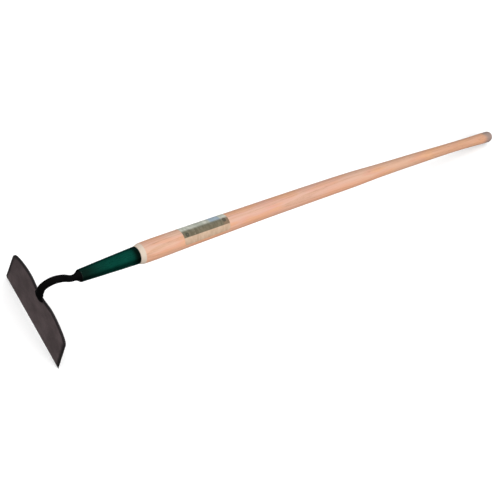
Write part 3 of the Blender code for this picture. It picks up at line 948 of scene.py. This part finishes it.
def ash_wood():
    """Ash: ring-porous growth rings cut along the pole, fine fibre, open pores, a thin satin varnish."""
    s = Shader("ash_wood", specular=0.25)
    place, (along, side, height) = s.attribute("grain")
    wander = s.noise(s.stretched(place, (2.0, 22.0, 22.0)), 1.0, 3.0, 0.5)
    from_pith_side = s.math("SUBTRACT", side, 0.030)
    from_pith_height = s.math("ADD", height, s.math("ADD", 0.041, s.math("MULTIPLY", along, 0.010)))
    squares = s.math("ADD", s.math("POWER", s.math("ABSOLUTE", from_pith_side), 2.0),
                     s.math("POWER", from_pith_height, 2.0))
    radius = s.math("ADD", s.math("SQRT", squares), s.math("MULTIPLY", wander, 0.010))
    year = s.math("FRACT", s.math("MULTIPLY", radius, 1 / 0.0031))
    early = s.math("MULTIPLY", s.ramp(year, 0.0, 0.10), s.ramp(year, 0.16, 0.55, 1.0, 0.0))
    fibre = s.noise(s.stretched(place, (9.0, 1000.0, 1000.0)), 1.0, 4.0, 0.6)
    pores = s.noise(s.stretched(place, (45.0, 2600.0, 2600.0)), 1.0, 2.0, 0.5)
    porous = s.math("ADD", s.math("MULTIPLY", early, 0.9), 0.1)
    open_pores = s.math("MULTIPLY", s.ramp(pores, 0.56, 0.68), porous)
    tone = s.noise(s.stretched(place, (3.6, 26.0, 26.0)), 1.0, 3.0, 0.5)
    blush = s.noise(s.stretched(place, (5.5, 30.0, 30.0)), 1.7, 2.0, 0.5)

    colour = s.blend(s.ramp(tone, 0.34, 0.66), (0.590, 0.350, 0.252), (0.605, 0.405, 0.305))
    colour = s.blend(s.ramp(blush, 0.44, 0.62, 0.0, 0.80), colour, (0.610, 0.295, 0.232))
    colour = s.blend(s.ramp(along, 0.32, 1.12, 0.0, 0.82), colour, (0.565, 0.280, 0.160))
    rosy = s.math("MULTIPLY", s.ramp(along, 0.19, 0.26, 0.0, 0.45), s.ramp(along, 0.50, 0.70, 1.0, 0.0))
    colour = s.blend(rosy, colour, (0.585, 0.285, 0.220))
    amber = s.noise(s.stretched(place, (7.0, 40.0, 40.0)), 1.3, 2.0, 0.5)
    colour = s.blend(s.ramp(amber, 0.50, 0.64, 0.0, 0.60), colour, (0.640, 0.335, 0.165))
    # Painted shade: a deeper, more saturated orange on the -Y side of the pole.
    painted_shade_side = s.math("ADD", side, s.ramp(tone, 0.3, 0.7, -0.005, 0.005))
    colour = s.blend(s.ramp(painted_shade_side, -0.020, -0.006, 0.75, 0.0), colour, (0.700, 0.330, 0.190))
    colour = s.blend(s.math("MULTIPLY", early, 0.34), colour, (0.450, 0.240, 0.130))
    colour = s.blend(s.ramp(fibre, 0.38, 0.74, 0.0, 0.34), colour, (0.700, 0.500, 0.380))
    colour = s.blend(s.math("MULTIPLY", open_pores, 0.55), colour, (0.270, 0.140, 0.075))
    shoulder = s.ramp(along, 0.0088, 0.0101, 0.90, 0.0)
    colour = s.blend(shoulder, colour, (0.590, 0.510, 0.420))
    # Darker and greyer over the last 70 mm of the pole towards the butt.
    toward_butt = s.math("ADD", along, s.ramp(tone, 0.3, 0.7, -0.012, 0.012))
    colour = s.blend(s.ramp(toward_butt, 1.228, 1.262, 0.0, 0.92), colour, (0.270, 0.205, 0.185))
    roughness = s.math("ADD", s.ramp(fibre, 0.3, 0.7, 0.40, 0.54), s.math("MULTIPLY", shoulder, 0.28))
    normal = s.bump(fibre, 0.00003)
    normal = s.bump(open_pores, -0.00006, normal)
    normal = s.bump(early, -0.00003, normal)
    return s.finish(colour, roughness, normal)


def label_print():
    """A worn sticker: pale with a blue patch, then an olive bar with a round spot at each end, then tan."""
    s = Shader("label_print", specular=0.25)
    _, (along, round_pole, _) = s.attribute("place")
    wear = s.noise(s.place, 420.0, 5.0, 0.65)
    rub = s.noise(s.stretched(s.place, (160.0, 60.0, 60.0)), 1.0, 4.0, 0.6)
    pale = s.blend(s.ramp(rub, 0.35, 0.65), (0.37, 0.39, 0.33), (0.52, 0.53, 0.46))
    tan = s.blend(s.ramp(rub, 0.35, 0.65), (0.45, 0.31, 0.21), (0.53, 0.38, 0.27))
    paper = s.blend(s.ramp(round_pole, 0.030, 0.031), pale, tan)
    sky_start = s.ramp(along, 0.066, 0.074)
    sky_end = s.ramp(along, 0.092, 0.097, 1.0, 0.0)
    sky_low = s.ramp(round_pole, 0.0235, 0.0275, 1.0, 0.0)
    sky = s.math("MULTIPLY", s.math("MULTIPLY", sky_start, sky_end), sky_low)
    colour = s.blend(s.math("MULTIPLY", sky, 0.75), paper, (0.25, 0.35, 0.46))
    bar = s.math("MULTIPLY", s.ramp(round_pole, 0.0212, 0.0275), s.ramp(round_pole, 0.0382, 0.0392, 1.0, 0.0))
    olive = s.blend(s.ramp(rub, 0.35, 0.68), (0.088, 0.080, 0.047), (0.140, 0.124, 0.080))
    olive = s.blend(s.ramp(along, 0.094, 0.100, 0.0, 0.7), olive, (0.20, 0.125, 0.075))
    colour = s.blend(s.math("MULTIPLY", bar, 0.95), colour, olive)
    for centre_along, centre_round, size in ((0.0090, 0.0335, 0.0044), (0.1010, 0.0290, 0.0046)):
        offset_a = s.math("POWER", s.math("ABSOLUTE", s.math("SUBTRACT", along, centre_along)), 2.0)
        offset_b = s.math("POWER", s.math("ABSOLUTE", s.math("SUBTRACT", round_pole, centre_round)), 2.0)
        gap = s.math("SQRT", s.math("ADD", offset_a, offset_b))
        colour = s.blend(s.ramp(gap, size * 0.86, size * 1.05, 0.80, 0.0), colour, (0.050, 0.050, 0.034))
    colour = s.blend(s.ramp(wear, 0.60, 0.70, 0.0, 0.40), colour, (0.46, 0.34, 0.25))
    roughness = s.ramp(rub, 0.3, 0.7, 0.34, 0.55)
    return s.finish(colour, roughness, s.bump(wear, 0.00004))


def floor_paper():
    """Matt white studio paper with a hint of tooth, clear from below so that the underside can be seen."""
    s = Shader("floor_paper", roughness=0.9, specular=0.1)
    s.surface.inputs["Emission Color"].default_value = (1.0, 1.0, 1.0, 1.0)
    s.surface.inputs["Emission Strength"].default_value = 0.22
    tooth = s.noise(s.place, 160.0, 3.0, 0.6)
    colour = s.blend(tooth, (0.84, 0.84, 0.84), (0.86, 0.86, 0.86))
    behind = s.add("NewGeometry").outputs["Backfacing"]
    clear = s.add("BsdfTransparent").outputs[0]
    sided = s.add("MixShader", {0: behind, 1: s.surface.outputs[0], 2: clear}).outputs[0]
    s.feed(s.tree.nodes["Material Output"].inputs["Surface"], sided)
    return s.finish(colour, normal=s.bump(tooth, 0.0001))


# Studio

def make_floor():
    """A level floor that sweeps up into a wall all round, metres away from the hoe."""
    flat_radius, sweep_radius, sides = 5.0, 4.0, 96
    profile = [(0.02, 0.0), (1.5, 0.0), (3.0, 0.0), (flat_radius, 0.0)]
    sweep_steps = 16
    for i in range(1, sweep_steps + 1):
        angle = math.pi / 2 * i / sweep_steps
        profile.append((flat_radius + sweep_radius * math.sin(angle), sweep_radius * (1 - math.cos(angle))))
    rings = [ring(Vector((0.0, 0.0, z)), X_AXIS, Y_AXIS, radius, radius, sides) for radius, z in profile]
    bm = skin(rings)
    top = max(bm.faces, key=lambda face: face.calc_center_median().z + len(face.verts))
    bm.faces.remove(top)
    bmesh.ops.reverse_faces(bm, faces=bm.faces)
    floor = make_object("studio_floor", bm)
    floor.data.materials.append(floor_paper())
    floor.visible_diffuse = False
    floor.visible_glossy = False


def make_sky():
    """White light from above and a dimmer grey from below."""
    world = bpy.data.worlds.new("studio")
    world.use_nodes = True
    tree = world.node_tree
    tree.nodes.clear()
    direction = tree.nodes.new("ShaderNodeTexCoord").outputs["Generated"]
    split = tree.nodes.new("ShaderNodeSeparateXYZ")
    tree.links.new(direction, split.inputs[0])
    rise = tree.nodes.new("ShaderNodeMapRange")
    rise.interpolation_type = "SMOOTHSTEP"
    limits = {"From Min": -0.05, "From Max": 0.55, "To Min": SKY_BELOW, "To Max": SKY_ABOVE}
    for name, value in limits.items():
        rise.inputs[name].default_value = value
    tree.links.new(split.outputs[2], rise.inputs["Value"])
    background = tree.nodes.new("ShaderNodeBackground")
    background.inputs["Color"].default_value = (1.0, 1.0, 1.0, 1.0)
    tree.links.new(rise.outputs[0], background.inputs["Strength"])
    output = tree.nodes.new("ShaderNodeOutputWorld")
    tree.links.new(background.outputs[0], output.inputs["Surface"])
    bpy.context.scene.world = world


def make_softbox(name, place, target, size, power, mirrored_in_gloss):
    data = bpy.data.lights.new(name, "AREA")
    data.shape = "RECTANGLE"
    data.size, data.size_y = size
    data.energy = power
    light = bpy.data.objects.new(name, data)
    light.location = place
    light.rotation_euler = (Vector(target) - Vector(place)).to_track_quat("-Z", "Y").to_euler()
    light.visible_glossy = mirrored_in_gloss
    bpy.context.scene.collection.objects.link(light)


def make_camera():
    turn = TOOL.to_3x3()
    view = (turn @ CAMERA_VIEW).normalized()
    right = view.cross(turn @ CAMERA_UP).normalized()
    up = right.cross(view)
    data = bpy.data.cameras.new("camera")
    data.lens = CAMERA_LENS
    data.sensor_width = CAMERA_SENSOR
    camera = bpy.data.objects.new("camera", data)
    pose = Matrix((right, up, -view)).transposed().to_4x4()
    pose.translation = TOOL @ CAMERA_PLACE
    camera.matrix_world = pose
    bpy.context.scene.collection.objects.link(camera)
    bpy.context.scene.camera = camera


def make_studio():
    make_floor()
    make_sky()
    for softbox in SOFTBOXES:
        make_softbox(*softbox)
    bpy.context.scene.view_settings.view_transform = "Standard"


def make_pieces():
    finish_piece(build_blade(), blade_steel(), "blade")
    finish_piece(build_shank(), forged_black(), "gooseneck_shank")
    weld = weld_steel()
    outer = build_bead("weld_bead_outer", BEAD_ENDS[0], 0.0, -BLADE_INWARD, 1.0)
    inner = build_bead("weld_bead_inner", BEAD_ENDS[1], BLADE_THICKNESS, BLADE_INWARD, 2.0)
    finish_piece(outer, weld, "weld_outer")
    finish_piece(inner, weld, "weld_inner")
    finish_piece(build_ferrule(), ferrule_green(), "ferrule")
    finish_piece(build_pin(), pin_steel(), "ferrule_pin")
    finish_piece(build_handle(), ash_wood(), "handle")
    finish_piece(build_label(), label_print(), "handle_label")


make_camera()
make_studio()
make_pieces()
